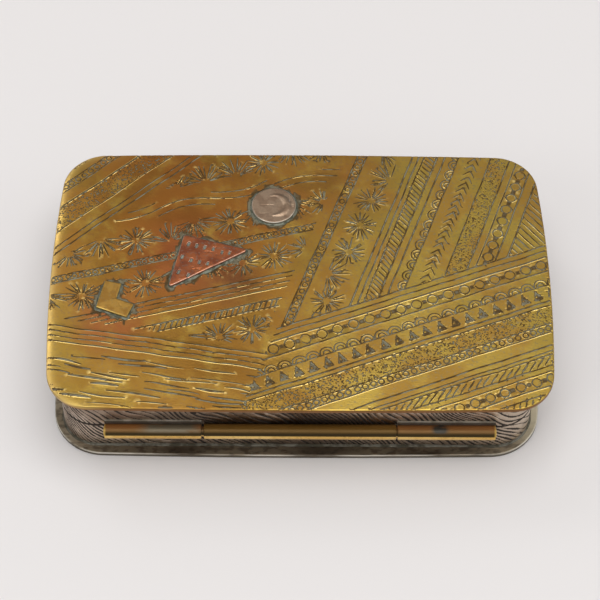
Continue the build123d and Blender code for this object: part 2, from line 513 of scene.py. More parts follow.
class Outline:
    """The closed outer line of a piece, seen from above and read from its solid in the frame."""

    def __init__(self, node: str, pitch: float, softening: float = 0.0) -> None:
        """Reads the upright faces of a node.

        Args:
            node: The node's name in the frame.
            pitch: The spacing of the line's points, in millimetres.
            softening: The length over which the line is averaged, in millimetres.
        """
        corners = max(self.loops(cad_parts[node].data), key=lambda line: abs(self.signed_area(line)))
        if self.signed_area(corners) < 0:
            corners = corners[::-1]
        self.points = self.softened(self.resampled(corners, pitch), pitch, softening)
        self.centre = (self.points.min(0) + self.points.max(0)) / 2

    @staticmethod
    def loops(mesh: bpy.types.Mesh) -> list[Points]:
        """Follows the feet of a solid's upright faces round.

        Args:
            mesh: The solid's mesh.

        Returns:
            The corners of each closed line, in millimetres.
        """
        upright = [face for face in mesh.polygons if abs(face.normal.z) < 0.1]
        low = min(mesh.vertices[v].co.z for face in upright for v in face.vertices) + 0.01 * MM
        beside: dict[tuple, set] = {}
        for face in upright:
            for ends in face.edge_keys:
                if all(mesh.vertices[v].co.z < low for v in ends):
                    a, b = (tuple(round(c / MM, 3) for c in mesh.vertices[v].co.xy) for v in ends)
                    beside.setdefault(a, set()).add(b)
                    beside.setdefault(b, set()).add(a)
        found = []
        while beside:
            line = [next(iter(beside))]
            while line[-1] in beside:
                ahead = [place for place in beside.pop(line[-1]) if place in beside]
                if ahead:
                    line.append(ahead[0])
            found.append(np.array(line))
        return found

    @staticmethod
    def signed_area(corners: Points) -> float:
        """The area inside a line, negative if it runs clockwise."""
        ahead = np.roll(corners, -1, 0)
        return float((corners[:, 0] * ahead[:, 1] - ahead[:, 0] * corners[:, 1]).sum() / 2)

    @staticmethod
    def resampled(corners: Points, pitch: float) -> Points:
        """Spaces points evenly along a closed line.

        Args:
            corners: The line's corners.
            pitch: The spacing wanted.

        Returns:
            The evenly spaced points.
        """
        closed = np.vstack([corners, corners[:1]])
        run = np.concatenate([[0], np.cumsum(np.hypot(*np.diff(closed, axis=0).T))])
        at = np.linspace(0, run[-1], int(run[-1] / pitch) + 1)[:-1]
        return np.stack([np.interp(at, run, closed[:, k]) for k in (0, 1)], 1)

    @staticmethod
    def softened(points: Points, pitch: float, length: float) -> Points:
        """Averages a closed line over a length, which takes out the solid's facets.

        Args:
            points: Evenly spaced points.
            pitch: Their spacing.
            length: The length to average over.

        Returns:
            The averaged points.
        """
        half = int(length / pitch / 2)
        steps = range(-half, half + 1)
        return sum(np.roll(points, step, 0) for step in steps) / len(steps)

    @property
    def normals(self) -> Points:
        """The outward direction at each point."""
        along = np.roll(self.points, -1, 0) - np.roll(self.points, 1, 0)
        along /= np.hypot(*along.T)[:, None]
        return np.stack([along[:, 1], -along[:, 0]], 1)

    def inset(self, step: float) -> Points:
        """The line moved inward by a step."""
        return self.points - self.normals * step

    def distance(self, places: Points) -> Points:
        """How far each place lies from the line.

        Args:
            places: Places near the line, in millimetres.

        Returns:
            The distances.
        """
        least = np.full(len(places), np.inf)
        for point in self.points:
            least = np.minimum(least, np.hypot(*(places - point).T))
        return least

    @staticmethod
    def holds(line: Points, places: Points) -> Points:
        """Tells which places lie inside a closed line.

        Args:
            line: The line's points.
            places: The places.

        Returns:
            True for each place inside.
        """
        inside = np.zeros(len(places), bool)
        x, y = places.T
        for (x0, y0), (x1, y1) in zip(line, np.roll(line, -1, 0)):
            if y0 != y1:
                inside ^= ((y0 > y) != (y1 > y)) & (x < (x1 - x0) * (y - y0) / (y1 - y0) + x0)
        return inside


# Engraving


def thinly(places: Points, cell: float) -> Points:
    """Keeps the first of the places that share a small cell.

    Args:
        places: The places, the most important first.
        cell: The side of a cell.

    Returns:
        The places kept.
    """
    key = (places / cell).round().astype(np.int64)
    _, first = np.unique(key[:, 0] * 1000003 + key[:, 1], return_index=True)
    return places[np.sort(first)]


def nearest(places: Points, others: Points) -> tuple[Points, Points]:
    """Finds the nearest of other places to each place.

    Args:
        places: The places.
        others: The other places.

    Returns:
        The number of the nearest other place and its distance, for each place.
    """
    tree = KDTree(len(others))
    for number, (x, y) in enumerate(others.tolist()):
        tree.insert((x, y, 0.0), number)
    tree.balance()
    found = [tree.find((x, y, 0.0))[1:] for x, y in places.tolist()]
    numbers, away = zip(*found)
    return np.array(numbers, int), np.array(away)


class Engraving:
    """The lines cut into a flat face, each with a flat bed, sloping sides and perhaps a burr.

    Bed, lip and foot say where the bed, the groove and the burr end, in half widths. A groove is as deep
    as asked from full_half on. The other values are the steps of its points and the cell that holds one.
    """

    bed, lip, foot = 0.55, 1.05, 1.5
    step, turn_step = 0.06, 0.55
    cell = 0.045
    wide, full_half = 0.16, 0.12

    def __init__(self) -> None:
        """Starts with no lines."""
        self.lines: list[Points] = []

    def cut(self, line: Points, width: float | Points = 0.24, depth: float = 0.09,
            burr: float = 0.0) -> None:
        """Cuts a groove.

        Args:
            line: The groove's points, close together.
            width: The groove's width, one value or one for each point.
            depth: How deep it is.
            burr: How high the metal stands along its sides.
        """
        half = np.broadcast_to(np.asarray(width, float) / 2, len(line))
        share = np.minimum(1, half / self.full_half)
        self.lines.append(np.column_stack([line, half, depth * share, burr * share]))

    def seeds(self, spacing: float) -> Points:
        """Places mesh points on the beds and lips of the grooves, and at the feet of their burrs.

        Args:
            spacing: The longest step along a groove.

        Returns:
            The points, with no two in one small cell.
        """
        turns = np.linspace(0, TURN, 8)[:-1]
        ring = np.stack([np.cos(turns), np.sin(turns)], 1)
        beds, lips, feet = [], [], [np.zeros((0, 2))]
        for line in self.lines:
            at, half, burr = line[:, :2], line[:, 2:3], line[:, 4]
            if len(line) < 3:
                beds.append(at[:1])
                lips.append(at[:1] + ring * half[0] * self.lip)
                continue
            steps = np.diff(at, axis=0)
            ways = np.unwrap(np.arctan2(steps[:, 1], steps[:, 0]))
            bends = np.abs(np.diff(ways)).sum() / self.turn_step
            count = max(np.hypot(*steps.T).sum() / spacing, bends, 1)
            picks = np.linspace(0, len(line) - 1, round(count) + 1).astype(int)
            along = np.gradient(at, axis=0)[picks]
            along /= np.maximum(np.hypot(*along.T), 1e-9)[:, None]
            side = np.stack([-along[:, 1], along[:, 0]], 1) * half[picks]
            caps = np.stack([at[0] - along[0] * half[0], at[-1] + along[-1] * half[-1]])
            beds.extend((at[picks] + side * self.bed, at[picks] - side * self.bed))
            lips.extend((at[picks] + side * self.lip, at[picks] - side * self.lip, caps))
            if burr.any():
                feet.extend((at[picks] + side * self.foot, at[picks] - side * self.foot))
        return thinly(np.vstack([*beds, *lips, *feet]), self.cell)

    def relief(self, places: Points) -> tuple[Points, Points]:
        """Tells how the face is cut and raised at each place.

        Args:
            places: Places on the face.

        Returns:
            The depth of the cuts and the height of the burrs, in millimetres.
        """
        deepest, raised = np.zeros(len(places)), np.zeros(len(places))
        every = np.vstack(self.lines) if self.lines else np.zeros((0, 5))
        for broad in (False, True):
            group = every[(every[:, 2] > self.wide) == broad]
            if len(group):
                numbers, away = nearest(places, group[:, :2])
                half, depth, burr = group[numbers, 2:].T
                groove = depth * np.clip((1 - away / half) / (1 - self.bed), 0, 1)
                deepest = np.maximum(deepest, groove)
                ridge = burr * np.clip(1 - np.abs(away / half - self.lip) / (self.foot - self.lip), 0, 1)
                raised = np.maximum(raised, ridge)
        return deepest, raised * (deepest == 0)


class Motif(Enum):
    """The traditional fillings of an engraved band."""

    PLAIN = "plain"
    LINES = "lines"
    WAVES = "waves"
    HATCH = "hatch"
    CHEVRON = "chevron"
    ROPE = "rope"
    STIPPLE = "stipple"
    BEADS = "beads"
    RINGS = "rings"
    SCALLOPS = "scallops"
    TEETH = "teeth"
    BURSTS = "bursts"
    REED = "reed"


@dataclass(frozen=True)
class Stroke:
    """One line of a motif, as corners along and across its band."""

    corners: tuple[tuple[float, float], ...]
    width: float = 0.26
    depth: float = 0.09
    tapered: bool = False
    taper_ends: float = 0.4
    taper_middle: float = 0.75
    taper_power: float = 0.7

    def carve(self, face: Engraving, line: Points, hand: float = 1.0, burr: float = 0.0) -> None:
        """Cuts the stroke into a face.

        Args:
            face: The lines of the face.
            line: The stroke's points on the face.
            hand: How heavy the hand is on this stroke.
            burr: How high the metal stands along the stroke.
        """
        width = self.width * hand
        if self.tapered and len(line) > 2:
            swell = np.sin(np.linspace(0.1, 3.0, len(line))) ** self.taper_power
            width = width * (self.taper_ends + self.taper_middle * swell)
        face.cut(line, width, self.depth, burr if len(line) > 2 else 0.0)


Strokes = Iterator[Stroke]


def dense(corners: Points, spacing: float) -> Points:
    """Fills a line with points close together.

    Args:
        corners: The line's corners, or a single place.
        spacing: The longest step between points.

    Returns:
        The points.
    """
    if len(corners) == 1:
        return corners
    runs = []
    for start, end in zip(corners[:-1], corners[1:]):
        count = max(1, math.ceil(math.dist(start, end) / spacing))
        runs.append(start + (end - start) * np.linspace(0, 1, count, endpoint=False)[:, None])
    return np.vstack([*runs, corners[-1:]])


def arc(start: tuple[float, float], end: tuple[float, float], bow: float,
        width: float = 0.25) -> Stroke:
    """Draws a tapered stroke that bows to its left.

    Args:
        start: Where it starts.
        end: Where it ends.
        bow: How far it bows, in millimetres.
        width: Its width at the middle.

    Returns:
        The stroke.
    """
    t = np.linspace(0, 1, 9)[:, None]
    side = np.array([start[1] - end[1], end[0] - start[0]]) / max(math.dist(start, end), 0.01)
    line = np.array(start) * (1 - t) + np.array(end) * t + side * bow * np.sin(math.pi * t)
    return Stroke(tuple(map(tuple, line)), width, tapered=True)


@dataclass(frozen=True)
class Band:
    """A straight band of one motif, between two border lines.

    Of rays, ray_reach and ray_turn, the first is for half bursts and the second for whole ones. Margins,
    rings, teeth and rays are given as shares of the band's width or step, and the rest in millimetres.
    """

    low: float
    high: float
    motif: Motif
    step: float = 1.2
    border: float = 0.28
    jitter: float = 0.05
    fine: float = 0.24
    punched: float = 0.6
    line_gap: float = 0.8
    wave_gap: float = 1.3
    wave_height: float = 0.9
    wave_length: float = 19.0
    hatch_lean: float = 0.6
    chevron_margin: float = 0.12
    bead: float = 0.3
    ring: float = 0.32
    pit_places: tuple[float, float] = (-0.12, 0.14)
    pit_half: float = 0.2
    pit_depth: float = 0.03
    scallops_at: tuple[float, float] = (0.47, 0.24)
    scallop_rise: float = 0.16
    tooth_half: float = 0.3
    tooth_span: tuple[float, float] = (0.25, 0.82)
    notch_share: float = 0.4
    notch_span: tuple[float, float] = (0.28, 0.6)
    notch_depth: float = 0.032
    whole_bursts: float = 0.6
    half_burst_shift: float = 0.32
    rays: tuple[int, int] = (12, 19)
    ray_reach: tuple[float, float] = (0.72, 0.56)
    ray_turn: tuple[float, float] = (0.95 * math.pi, TURN)
    ray_start: float = 0.24
    dots_per_mm2: float = 9.0
    dot_margin: float = 0.2
    dot_width: tuple[float, float] = (0.18, 0.31)
    dot_depth: float = 0.08
    reed_gap: float = 0.9
    reeds_missing: float = 0.3
    reed_scatter: tuple[float, float] = (0.6, 0.15)
    reed_length: tuple[float, float] = (0.5, 1.1)
    reed_bow: float = 0.25
    reed_width: tuple[float, float] = (0.2, 0.45)

    def strokes(self, start: float, end: float, chance: Chance) -> Strokes:
        """Draws the band's motif and borders.

        Args:
            start: Where the band starts, along its length.
            end: Where it ends.
            chance: The random numbers of hand work.

        Yields:
            The strokes, along and across the band.
        """
        draw = getattr(self, self.motif.value)
        for at in np.arange(start, end, self.step):
            yield from draw(at + chance.normal(0, self.jitter), chance)
        if self.border:
            for edge in (self.low, self.high):
                yield Stroke(((start, edge), (end, edge)), self.border)

    @property
    def middle(self) -> float:
        """The line halfway across."""
        return (self.low + self.high) / 2

    @property
    def wide(self) -> float:
        """How wide the band is."""
        return self.high - self.low

    def plain(self, at: float, chance: Chance) -> Strokes:
        """Leaves the ground bare."""
        yield from ()

    def lines(self, at: float, chance: Chance) -> Strokes:
        """A stretch of fine lines along the band."""
        rows = round(self.wide / self.line_gap)
        for row in range(1, rows):
            height = self.low + row * self.wide / rows
            yield Stroke(((at, height), (at + self.step, height)), self.fine)

    def hatch(self, at: float, chance: Chance) -> Strokes:
        """A slanting line right across."""
        yield Stroke(((at, self.low), (at + self.hatch_lean * self.wide, self.high)), tapered=True)

    def chevron(self, at: float, chance: Chance) -> Strokes:
        """An arrowhead across the band."""
        tip, gap = at + self.wide / 2, self.chevron_margin * self.wide
        yield Stroke(((at, self.low + gap), (tip, self.middle), (at, self.high - gap)), tapered=True)

    def rope(self, at: float, chance: Chance) -> Strokes:
        """One turn of a twisted rope."""
        steps = np.linspace(0, 1, 9)
        places = tuple((at + self.wide * (1 - math.cos(math.pi * t)) / 2, self.low + self.wide * t)
                       for t in steps)
        yield Stroke(places, tapered=True)

    def waves(self, at: float, chance: Chance) -> Strokes:
        """A stretch of parallel waves."""
        rows = round(self.wide / self.wave_gap)
        x = np.linspace(at, at + self.step, 8)
        for row in range(rows + 1):
            wave = self.wave_height * np.sin(TURN * x / self.wave_length)
            y = self.low + row * self.wide / rows + wave
            yield Stroke(tuple(zip(x, y)))

    def circle(self, x: float, y: float, radius: float, share: float = 1.0) -> Stroke:
        """A punched ring, or the upper share of one.

        Args:
            x: The ring's middle, along the band.
            y: The ring's middle, across it.
            radius: Its radius.
            share: The share of the turn that is struck.

        Returns:
            The stroke.
        """
        turns = np.linspace(0, TURN * share, 17)
        return Stroke(tuple(zip(x + radius * np.cos(turns), y + radius * np.sin(turns))), self.fine)

    def beads(self, at: float, chance: Chance) -> Strokes:
        """One small ring of a chain."""
        yield self.circle(at, self.middle, self.bead * self.wide)

    def rings(self, at: float, chance: Chance) -> Strokes:
        """A punched ring and a square pit beside it."""
        yield self.circle(at, self.middle, self.ring * self.wide)
        low, high = self.middle - self.pit_half, self.middle + self.pit_half
        for shift in self.pit_places:
            side = at + self.step / 2 + shift
            yield Stroke(((side, low), (side, high)), self.punched, self.pit_depth)

    def scallops(self, at: float, chance: Chance) -> Strokes:
        """Two half rings, one inside the other, standing on the lower border."""
        for share in self.scallops_at:
            yield self.circle(at, self.low + self.scallop_rise, share * self.step, 0.5)

    def teeth(self, at: float, chance: Chance) -> Strokes:
        """A punched triangle that points to the upper border."""
        half = self.tooth_half * self.step
        low, high = (self.low + share * self.wide for share in self.tooth_span)
        yield Stroke(((at - half, low), (at + half, low), (at, high), (at - half, low)))
        foot, rise, drop = self.notch_share * half, *self.notch_span
        inner = ((at - foot, low + rise), (at + foot, low + rise), (at, high - drop))
        yield Stroke(inner, self.punched, self.notch_depth)

    def bursts(self, at: float, chance: Chance) -> Strokes:
        """A star of tapered strokes, whole or half."""
        whole = chance.random() < self.whole_bursts
        hand = chance.choice((-1, 1))
        x, y = at + chance.normal(0, 0.25), self.middle
        if not whole:
            y -= hand * self.half_burst_shift * self.wide
        count = self.rays[whole]
        turns = np.arange(count) * self.ray_turn[whole] / count + chance.normal(0, 0.07, count)
        for turn in turns + (0 if whole else 0.15):
            reach = self.wide * self.ray_reach[whole] * chance.uniform(0.75, 1.05)
            near, far = ((x + r * math.cos(turn), y + hand * r * math.sin(turn))
                         for r in (self.ray_start * reach, reach))
            yield arc(near, far, 0.0, self.fine)

    def stipple(self, at: float, chance: Chance) -> Strokes:
        """A scatter of punched dots."""
        low, high = self.low + self.dot_margin, self.high - self.dot_margin
        for _ in range(int(self.wide * self.step * self.dots_per_mm2)):
            place = (at + chance.uniform(0, self.step), chance.uniform(low, high))
            yield Stroke((place,), chance.uniform(*self.dot_width), self.dot_depth)

    def reed(self, at: float, chance: Chance) -> Strokes:
        """A column of long tapered strokes, laid like bricks."""
        rows = round(self.wide / self.reed_gap)
        aside, up = self.reed_scatter
        for row in range(rows):
            if chance.random() < self.reeds_missing:
                continue
            x = at + (row % 2) * self.step / 2 + chance.normal(0, aside)
            y = self.low + (row + 0.5) * self.wide / rows + chance.normal(0, up)
            end = (x + self.step * chance.uniform(*self.reed_length), y + chance.normal(0, self.reed_bow))
            yield arc((x, y), end, chance.uniform(-self.reed_bow, self.reed_bow),
                      chance.uniform(*self.reed_width))


@dataclass(frozen=True)
class Panel:
    """A field of the lid, cut off by straight edges and filled with parallel bands."""

    corner: tuple[float, float]
    slope: float
    bands: tuple[Band, ...]
    edges: tuple[tuple[float, float, float], ...]
    reach: float = 95.0
    sway: float = 0.08
    sway_size: float = 8.0
    sway_seeds: tuple[int, int] = (21, 22)
    burr: float = 0.028
    hand: tuple[float, float] = (0.85, 1.15)
    slack: float = 0.01

    def engrave(self, sheet: "WorkedSheet", chance: Chance) -> None:
        """Cuts the panel's bands into a sheet.

        Args:
            sheet: The sheet.
            chance: The random numbers of hand work.
        """
        low, high = sheet.outline.points.min(0), sheet.outline.points.max(0)
        along = np.array([math.cos(self.slope), math.sin(self.slope)])
        across = np.array([-along[1], along[0]])
        for band in self.bands:
            for stroke in band.strokes(-self.reach, self.reach, chance):
                corners = np.array(stroke.corners)
                ends = np.array(self.corner) + corners[:, :1] * along + corners[:, 1:] * across
                if (ends.max(0) < low).any() or (ends.min(0) > high).any():
                    continue
                line = dense(ends, Engraving.step)
                cross = (line - self.corner) @ across
                kept = (cross >= band.low - self.slack) & (cross <= band.high + self.slack)
                kept &= self.inside(line)
                if kept.any():
                    line = line[kept]
                    sway = [smooth_noise(*line.T, self.sway_size, seed) for seed in self.sway_seeds]
                    burr = max(0.0, chance.uniform(-self.burr, self.burr))
                    stroke.carve(sheet.engraving, line + self.sway * np.stack(sway, 1),
                                 chance.uniform(*self.hand), burr)

    def inside(self, line: Points) -> Points:
        """Tells which points lie within every edge.

        Args:
            line: Points on the lid.

        Returns:
            True for each point inside.
        """
        inside = np.ones(len(line), bool)
        for nx, ny, limit in self.edges:
            inside &= line[:, 0] * nx + line[:, 1] * ny < limit
        return inside


# Sheet pieces with a worked upper face


def grid(low: Points, high: Points, pitch: float) -> Points:
    """Spreads places evenly over a rectangle.

    Args:
        low: Its lower left corner.
        high: Its upper right corner.
        pitch: The spacing of the places.

    Returns:
        The places.
    """
    steps = [np.arange(low[k], high[k], pitch) for k in (0, 1)]
    return np.stack(np.meshgrid(*steps, indexing="ij"), -1).reshape(-1, 2)


@dataclass
class WorkedSheet:
    """A sheet piece that takes its outline and its faces from a node, and its relief from its engraving."""

    node: str
    name: str
    edge: float
    softening: float = 0.8
    groove_pitch: float = 0.3
    open_pitch: float = 0.5
    edge_worn: float = 0.15
    edge_pitch: float = 0.2
    rings: int = 5
    crease: float = math.radians(26)
    swell: Callable[[Points, Points], Points] | None = None
    grime: Callable[[Points], Points] | None = None
    # A painted highlight: its share at each place in plan.
    painted_highlight: Callable[[Points], Points] | None = None
    fine: Points | None = None
    fine_gap: float = 0.12
    open_gap: float = 0.26
    margin: float = 0.05
    rim_gap: float = 0.07
    clean_depth: float = 0.006
    dark_depth: float = 0.03
    bright_burr: float = 0.03
    clean_cut: float = 0.2
    wear_from: float = 0.02
    wear_fade: float = 0.06
    wear_above: float = 0.1
    highlight_depth: float = 0.3

    def __post_init__(self) -> None:
        """Reads the node's faces and outline, and leaves its face bare."""
        low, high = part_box(self.node)
        self.bottom, self.top = low[2] / MM, high[2] / MM
        self.outline = Outline(self.node, self.edge_pitch, self.softening)
        self.engraving = Engraving()

    def spread(self, inner: Points) -> Points:
        """Spreads points over the upper face, along its grooves and loosely between them.

        Args:
            inner: The line that the points stay within.

        Returns:
            The points in plan.
        """
        ground = grid(inner.min(0) + self.margin, inner.max(0), self.open_pitch)
        plan = ground
        if self.engraving.lines:
            worked = self.engraving.seeds(self.groove_pitch)
            for loose, gap in ((self.fine, self.fine_gap), (ground, self.open_gap)):
                if loose is not None:
                    worked = np.vstack([worked, loose[nearest(loose, worked)[1] > gap]])
            plan = worked
        away = inner - inner.mean(0)
        tight = inner - away * (self.rim_gap / np.hypot(*away.T))[:, None]
        return plan[Outline.holds(tight, plan)]

    def build(self, material: Material) -> Piece:
        """Builds the closed sheet, with a rounded upper edge and a flat underside.

        Args:
            material: The sheet's finish.

        Returns:
            The new piece.
        """
        line, out = self.outline.points, self.outline.normals
        inner = self.outline.inset(self.edge)
        count = len(inner)
        plan = np.vstack([inner, self.spread(inner)])
        loop = [(k, (k + 1) % count) for k in range(count)]
        places, _, faces, *_ = delaunay_2d_cdt([Vector(p) for p in plan.tolist()], loop, [], 1, 1e-5)
        plan = np.array([tuple(p) for p in places])
        cut, raised = self.engraving.relief(plan)
        rise = (self.swell(*plan.T) if self.swell else 0) + raised - cut
        layers = [np.column_stack([plan, self.top + rise])]
        for k in range(1, self.rings + 1):
            turn = math.pi / 2 * k / self.rings
            ring = line - out * self.edge * (1 - math.sin(turn))
            drop = self.edge * (1 - math.cos(turn)) - rise[:count] * math.cos(turn)
            layers.append(np.column_stack([ring, self.top - drop]))
        for step, height in ((0.0, self.bottom + self.edge / 2), (self.edge / 2, self.bottom)):
            layers.append(np.column_stack([line - out * step, np.full(count, height)]))
        first = len(plan)
        rows = [np.arange(count)] + [first + k * count + np.arange(count) for k in range(len(layers) - 1)]
        skirt = strips(rows)[:, [0, 3, 2, 1]]
        faces = [*faces, *skirt.tolist(), rows[-1][::-1].tolist()]
        points = np.vstack(layers)
        piece = mesh_object(self.name, points, faces, material, **self.marks(points, cut, raised))
        piece.data.set_sharp_from_angle(angle=self.crease)
        return piece

    def marks(self, points: Points, depth: Points, raised: Points) -> dict[str, Points]:
        """Tells how dirty each point is, and how much it is worn bright or given a painted highlight.

        Args:
            points: The sheet's points, those of its upper face first.
            depth: How deep the upper face is cut at each of its points.
            raised: How high its burrs stand there.

        Returns:
            The values of the attributes cut and worn.
        """
        cut, face = np.zeros(len(points)), len(depth)
        cut[:face] = np.clip((depth - self.clean_depth) / self.dark_depth, 0, 1)
        if self.grime:
            cut[:face] = np.maximum(cut[:face], self.grime(points[:face, :2]))
        z, clean = points[:, 2], cut < self.clean_cut
        edge = (z > self.bottom + self.wear_above) * clean * self.edge_worn
        worn = np.clip((self.top - self.wear_from - z) / self.wear_fade, 0, 1) * edge
        # Burrs are worn bright, partly as a painted sheen.
        worn[:face] = np.maximum(worn[:face], np.clip(raised / self.bright_burr, 0, 1))
        # The painted highlight, on the clean metal near the top.
        if self.painted_highlight:
            worn = np.maximum(worn, self.painted_highlight(points[:, :2]) * clean * (z > self.top - self.highlight_depth))
        return {"cut": cut, "worn": worn}


@dataclass
class Lid:
    """The engraved lid plate, with a generic layout of traditional bands."""

    node: str = "lid_plate"
    seed: int = 11
    overlays: tuple[str, ...] = ("disc_overlay", "triangle_overlay", "angle_overlay")
    groove_pitch: float = 0.42
    fine_pitch: float = 0.2
    beaten: tuple[Triple, Triple] = ((0.03, 17.0, 3), (0.008, 5.0, 4))
    lean: float = math.radians(70)
    rake: float = math.radians(21)
    foot: float = -8.0
    halo: float = 1.05
    halo_fade: float = 0.25
    halo_room: float = 2.0
    outline_pitch: float = 0.2
    edge_roll: float = 0.2
    roll_reach: float = 0.5
    roll_from: float = -33.0
    roll_fade: float = 4.0
    roll_half_depth: float = 24.0
    rolled_rim: float = 1.3
    # The painted highlight along the left edge: its share, reach, start and fade.
    highlight_share: float = 0.55
    highlight_reach: float = 0.6
    highlight_from: float = -28.0
    highlight_fade: float = 8.0

    def panels(self) -> tuple[Panel, ...]:
        """Lays out five fields of bands, each cut off by straight edges.

        Returns:
            The panels.
        """
        right = (-math.sin(self.lean), math.cos(self.lean))
        lower = (-math.sin(self.rake), math.cos(self.rake))
        left_of_right = (-right[0], -right[1])
        climb, fall, climb_limit, fall_limit = math.radians(42), math.radians(9), 28.332, 14.226
        upper_right = Panel((0, 0), self.lean, (
            Band(-1.9, -0.5, Motif.BEADS, 1.3),
            Band(-8.2, -3.0, Motif.BURSTS, 5.4, 0.0),
            Band(-10.2, -9.2, Motif.PLAIN),
            Band(-13.0, -11.0, Motif.HATCH, 0.85),
            Band(-16.4, -14.2, Motif.SCALLOPS, 2.2),
            Band(-20.4, -17.8, Motif.CHEVRON, 1.35, 0.0),
            Band(-24.6, -21.6, Motif.STIPPLE, 1.0),
            Band(-28.4, -25.8, Motif.RINGS, 2.6),
            Band(-36.0, -30.0, Motif.HATCH, 1.1),
        ), ((-lower[0], -lower[1], -self.foot),))
        lower_right = Panel((0, self.foot / math.cos(self.rake)), self.rake, (
            Band(-1.2, -0.2, Motif.PLAIN),
            Band(-4.9, -2.3, Motif.RINGS, 2.7),
            Band(-7.4, -4.9, Motif.SCALLOPS, 2.3),
            Band(-10.4, -7.4, Motif.TEETH, 2.4),
            Band(-14.4, -11.2, Motif.STIPPLE, 1.0),
            Band(-15.9, -14.4, Motif.BEADS, 1.35),
            Band(-19.2, -18.2, Motif.PLAIN),
            Band(-21.6, -19.8, Motif.ROPE, 1.3),
            Band(-25.0, -22.6, Motif.RINGS, 2.6),
            Band(-30.0, -26.2, Motif.HATCH, 1.1),
        ), ((*right, 0.0),))
        upper_left = Panel((-40, 4), climb, (
            Band(0.0, 1.0, Motif.PLAIN),
            Band(3.2, 6.8, Motif.STIPPLE, 1.0),
            Band(9.0, 10.4, Motif.BEADS, 1.3),
            Band(12.0, 15.0, Motif.STIPPLE, 1.0),
            Band(16.2, 30.0, Motif.HATCH, 1.2),
        ), ((*left_of_right, 0.4),))
        lower_left = Panel((-40, -9.5), math.radians(-9), (
            Band(-2.8, 0.0, Motif.LINES, 2.0),
            Band(-19.0, -4.0, Motif.REED, 8.0, 0.0),
        ), ((*left_of_right, 0.4),))
        middle = Panel((-20, 0), math.radians(15), (
            Band(-15.8, -10.6, Motif.BURSTS, 5.2, 0.0),
            Band(-9.8, -8.4, Motif.HATCH, 0.9),
            Band(-6.4, -3.8, Motif.LINES, 2.0),
            Band(-2.8, 2.6, Motif.BURSTS, 5.3, 0.0),
            Band(3.5, 4.7, Motif.BEADS, 1.15),
            Band(5.8, 11.2, Motif.BURSTS, 5.3, 0.0),
            Band(12.6, 15.3, Motif.WAVES, 2.0, 0.0),
            Band(16.6, 21.8, Motif.BURSTS, 5.2, 0.0),
            Band(22.8, 24.0, Motif.BEADS, 1.15),
        ), (
            (*left_of_right, -1.4),
            (-math.sin(climb), math.cos(climb), climb_limit),
            (-math.sin(fall), -math.cos(fall), fall_limit),
        ))
        return upper_right, lower_right, upper_left, lower_left, middle

    def halo_grid(self, outline: Outline) -> Points:
        """Spreads mesh points close together round an overlay, for its halo's ragged edge."""
        low, high = outline.points.min(0) - self.halo_room, outline.points.max(0) + self.halo_room
        near = grid(low, high, self.fine_pitch)
        return near[outline.distance(near) < 1.9 * self.halo]

    def grime(self, places: Points) -> Points:
        """Dulls the brass round each overlay, where flux and heat crept out of the joint.

        Args:
            places: Places on the lid.

        Returns:
            How dull each place is.
        """
        lobes, nicks = smooth_noise(*places.T, 2.6, 31), smooth_noise(*places.T, 0.9, 32)
        ragged = self.halo * (0.8 + 0.55 * lobes + 0.25 * nicks)
        away = np.min([Outline(node, self.outline_pitch).distance(places) for node in self.overlays], 0)
        return np.clip((ragged - away) / self.halo_fade, 0, 1) * np.clip(1.05 - 0.35 * away, 0, 0.9)

    def build(self, material: Material) -> Piece:
        """Builds the engraved plate.

        Args:
            material: Its finish.

        Returns:
            The new piece.
        """
        sheet = WorkedSheet(self.node, "lid_plate_engraved", edge=0.25, groove_pitch=self.groove_pitch,
                            edge_worn=0.04, crease=math.radians(7.5))

        def swell(x: Points, y: Points) -> Points:
            """The unevenness of beaten sheet, and the roll of its left edge, at each place."""
            waves = sum(height * smooth_noise(x, y, size, seed) for height, size, seed in self.beaten)
            leftness = np.clip((self.roll_from - x) / self.roll_fade, 0, 1)
            away = sheet.outline.distance(np.column_stack([x, y]))
            return waves - self.edge_roll * leftness * np.exp(-away / self.roll_reach)

        def painted_highlight(places: Points) -> Points:
            """The painted highlight along the left edge, at each place."""
            leftness = np.clip((self.highlight_from - places[:, 0]) / self.highlight_fade, 0, 1)
            return self.highlight_share * leftness * np.exp(-sheet.outline.distance(places) / self.highlight_reach)

        sheet.swell, sheet.grime, sheet.painted_highlight = swell, self.grime, painted_highlight
        chance = np.random.default_rng(self.seed)
        for panel in self.panels():
            panel.engrave(sheet, chance)
        rolled = grid((-40.0, -self.roll_half_depth), (self.roll_from, self.roll_half_depth), self.fine_pitch)
        halos = [self.halo_grid(Outline(node, self.outline_pitch)) for node in self.overlays]
        sheet.fine = np.vstack([*halos, rolled[sheet.outline.distance(rolled) < self.rolled_rim]])
        return sheet.build(material)


# Overlays


